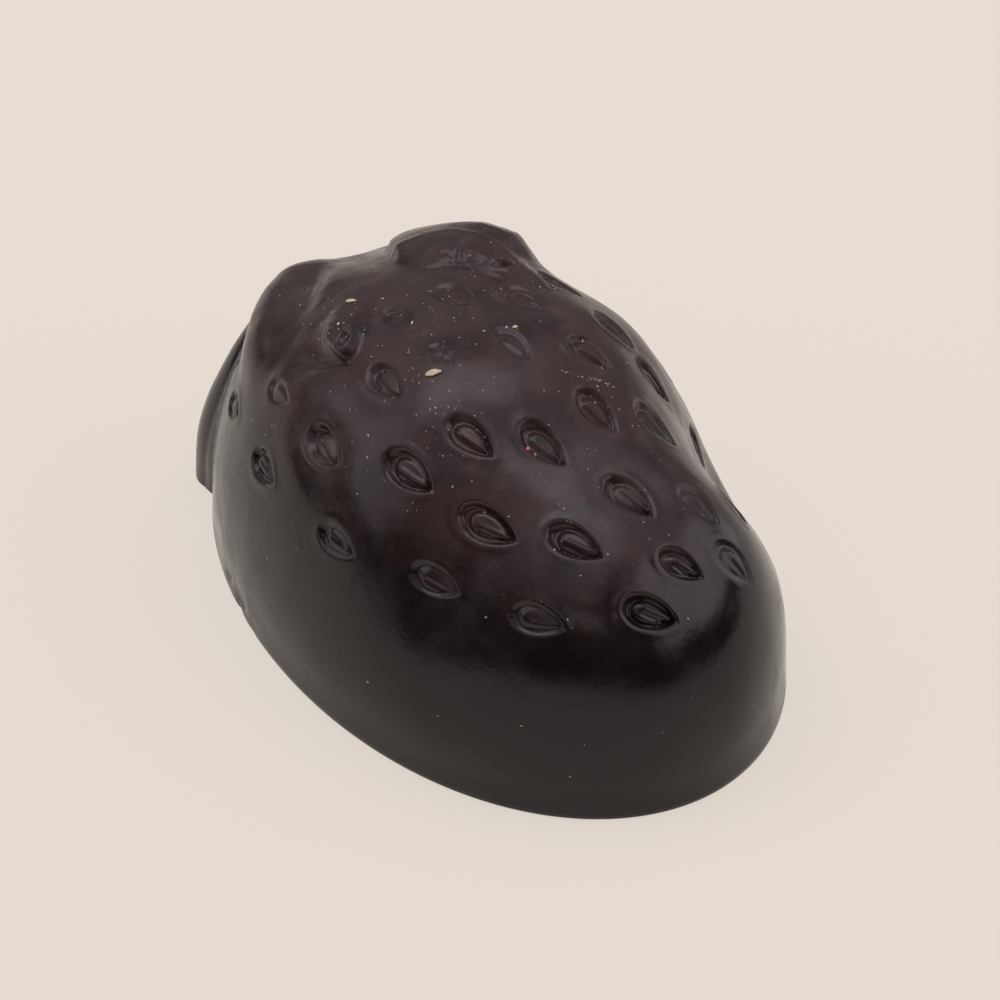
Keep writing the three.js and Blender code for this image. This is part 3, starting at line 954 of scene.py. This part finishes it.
# one rough grain, its corners moved a little by chance
def addGrain(name, chance, cuts):
    bpy.ops.object.select_all(action="DESELECT")
    bpy.ops.mesh.primitive_ico_sphere_add(subdivisions=cuts, radius=0.5 * mm)
    grain = bpy.context.object
    grain.name = grain.data.name = name
    points = readPoints(grain)
    points *= np.array([[chance.uniform(0.75, 1.2) for axis in range(3)] for point in points])
    writePoints(grain, points)
    return grain


# where a ray straight down, or level towards the middle, meets the chocolate
def landOn(body, place):
    if len(place) == 2:
        origin, aim = Vector((*place, berry["length"])) * mm, Vector((0, 0, -1))
    else:
        origin = Vector((place[0] * 2, place[1] * 2, place[2])) * mm
        aim = Vector((-place[0], -place[1], 0)).normalized()
    hit, where, normal, face = body.ray_cast(origin, aim)
    return (where, normal) if hit else (None, None)


# copies of a grain lie on the chocolate, each pressed in a little
def scatter(body, grain, name, places):
    pieces = []
    for place, heading, size in places:
        where, normal = landOn(body, place)
        if where is None or where.z < 0.5 * mm:
            continue
        copy = bpy.data.objects.new(name, grain.data.copy())
        bpy.context.scene.collection.objects.link(copy)
        along = Vector((math.cos(math.radians(heading)), math.sin(math.radians(heading)), 0))
        sideways = normal.cross(along).normalized()
        turn = Matrix((sideways.cross(normal), sideways, normal)).transposed().to_4x4()
        move = Matrix.Translation(where + normal * size[2] * 0.25 * mm) @ turn
        copy.data.transform(move @ Matrix.Diagonal((*size, 1)))
        pieces.append(copy)
    bpy.data.objects.remove(grain)
    bpy.ops.object.select_all(action="DESELECT")
    for piece in pieces:
        piece.select_set(True)
    bpy.context.view_layer.objects.active = pieces[0]
    bpy.ops.object.join()
    pieces[0].name = pieces[0].data.name = name
    bpy.ops.object.shade_flat()
    print(name, len(pieces), "grains")
    return pieces[0]


def addCrumbs(body, name, crumbs):
    grain = addGrain(name + "Shape", random.Random(3), 2)
    places = [((x, y), heading, size) for x, y, heading, *size in crumbs["places"]]
    piece = scatter(body, grain, name, places)
    piece.data.materials.append(startMaterial(name + "Colour", crumbs["colour"], crumbRoughness)[0])
    return piece


def addDust(body):
    chance = random.Random(5)
    grain = addGrain("grainShape", chance, 1)
    places = []
    for x, y, spread, count in dust["clusters"]:
        places += [(chance.gauss(x, spread), chance.gauss(y, spread)) for number in range(count)]
    spread = dust["scratchSpread"]
    for x, y in smoothLine(scratch["line"], dust["inScratch"]):
        places.append((x + chance.gauss(0, spread), y + chance.gauss(0, spread)))
    places += dust["wall"]
    sized = []
    for place in places:
        size = chance.uniform(*dust["size"]) * chance.uniform(0.6, 1)
        heading = chance.uniform(0, 180)
        sized.append((place, heading, (size * chance.uniform(1, 1.8), size, size * 0.6)))
    piece = scatter(body, grain, "dustGrains", sized)
    piece.data.materials.append(startMaterial("dustColour", dust["colour"], dust["roughness"])[0])
    return piece


bpy.context.scene.view_settings.view_transform = "Standard"
addCamera()
addFloor()
addWorld()
for name, lamp in lamps.items():
    addLamp(name, lamp)
print("studio with", len(lamps), "lamps")

body = addBody()
print("berry", len(body.data.polygons), "faces")

seedMiddles = np.array([(x, y, crownHeight(x, y)) for x, y, *rest in seeds["places"]])
leafLines = np.vstack([smoothLine(curledLeaf["crease"], 40), smoothLine(longLeaf["left"], 40)])
pitMiddles = np.array([place[:2] for place in leafPits["places"] + chips["places"]])


def nearSeeds(middles, reach):
    return np.linalg.norm(middles[:, None] - seedMiddles, axis=2).min(axis=1) < reach


# seen from above, faces whose middles are within reach of any of the spots
def nearAny(spots, middles, reach):
    return np.linalg.norm(middles[:, None, :2] - spots, axis=2).min(axis=1) < reach


refine(body, lambda middles: nearSeeds(middles, 2.3) | nearAny(leafLines, middles, 2.8))
refine(body, lambda middles: nearSeeds(middles, 1.75) | nearAny(leafLines, middles, 0.9)
       | nearAny(pitMiddles, middles, 1.2))
print("refined to", len(body.data.polygons), "faces")

points = readPoints(body)
shoulders = [shoulderRelief(points, leaf) for leaf in shoulderLeaves.values()]
leaves = np.maximum(curledLeafRelief(points), 0) + longLeafRelief(points) + pitRelief(points)
details = seedRelief(points)
for relief in (waveRelief, scratchRelief, scuffRelief, chipRelief):
    details = details + relief(points)
pushSurface(body, "shoulders", np.maximum(*shoulders))
pushSurface(body, "leaves", leaves)
pushSurface(body, "seeds", details)
for flank in (-1, 1):
    joinLeaf(body, addHangingLeaf(flank))
flattenUnderside(body)
selectOnly(body)
bpy.ops.object.shade_smooth_by_angle(angle=math.radians(60))
body.data.materials.clear()
body.data.materials.append(addChocolate())
print("body with leaves and seeds", len(body.data.polygons), "faces")

crumbs = [addCrumbs(body, "creamCrumbs", creamCrumbs), addCrumbs(body, "pinkCrumbs", pinkCrumbs),
          addDust(body)]
for piece in [body] + crumbs:
    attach(piece, "root")
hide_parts("bonbon")
